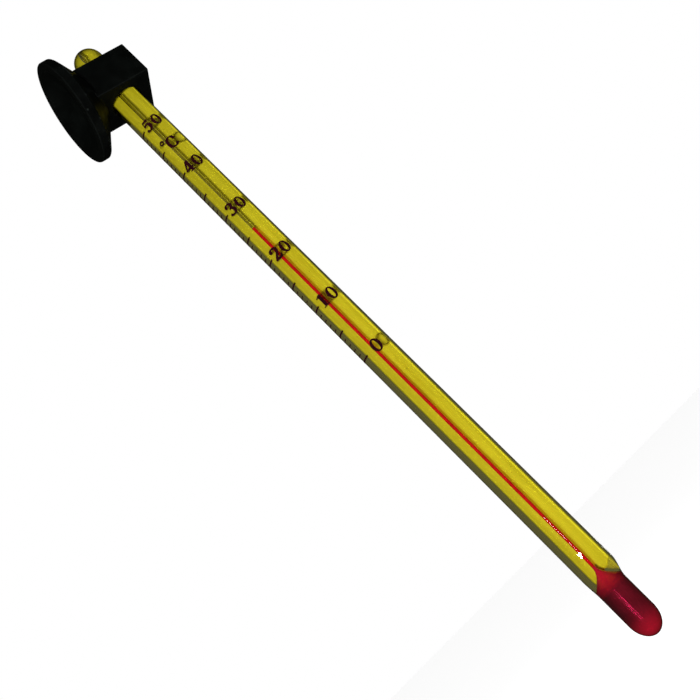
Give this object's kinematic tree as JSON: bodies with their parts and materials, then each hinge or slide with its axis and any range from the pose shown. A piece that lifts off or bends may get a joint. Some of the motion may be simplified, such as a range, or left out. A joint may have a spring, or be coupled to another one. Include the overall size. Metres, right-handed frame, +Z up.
{
  "type": "glass aquarium thermometer",
  "caption": "Glass spirit thermometer with a yellow-backed Celsius scale and red bulb, held by its stem in a black rubber suction-cup block for an aquarium wall.",
  "frame": {"origin": "centre of the suction cup's rim, in the plane of the wall that the cup grips", "axes": "+Z up along the glass stem with the bulb at the bottom, +Y into the wall, -X roughly the side that the scale is read from"},
  "size_m": [0.0208, 0.016, 0.149],
  "materials": {
    "black_rubber": "moulded matt",
    "clear_glass": "fire-polished clear",
    "yellow_enamel": "opaque, fused in the glass",
    "red_spirit": "clear dyed liquid",
    "scale_ink": "printed and fired"
  },
  "bodies": {
    "holder": {"suction_cup_holder": "black_rubber"},
    "thermometer": {"stem_glass": "clear_glass", "bulb_glass": "clear_glass", "enamel_backing": "yellow_enamel", "bulb_spirit": "red_spirit", "spirit_column": "red_spirit", "tick_00": "scale_ink", "tick_05": "scale_ink", "tick_10": "scale_ink", "tick_15": "scale_ink", "tick_20": "scale_ink", "tick_25": "scale_ink", "tick_30": "scale_ink", "tick_35": "scale_ink", "tick_40": "scale_ink", "tick_45": "scale_ink", "tick_50": "scale_ink", "figure_0_zero": "scale_ink", "figure_10_one": "scale_ink", "figure_10_zero": "scale_ink", "figure_20_two": "scale_ink", "figure_20_zero": "scale_ink", "figure_30_three": "scale_ink", "figure_30_zero": "scale_ink", "figure_40_four": "scale_ink", "figure_40_zero": "scale_ink", "figure_50_five": "scale_ink", "figure_50_zero": "scale_ink", "degree_ring": "scale_ink", "celsius_letter": "scale_ink"},
    "spirit_top": {"spirit_column_top": "red_spirit"}
  },
  "joints": [
    {"name": "stem_slide", "type": "slide", "parent": "holder", "child": "thermometer", "axis": [0, 0, 1], "range_m": [-0.0039, 0.115]},
    {"name": "spirit_rise", "type": "slide", "parent": "thermometer", "child": "spirit_top", "axis": [0, 0, 1], "range_m": [-0.03248, 0.02951], "deforming": ["spirit_column"]}
  ]
}
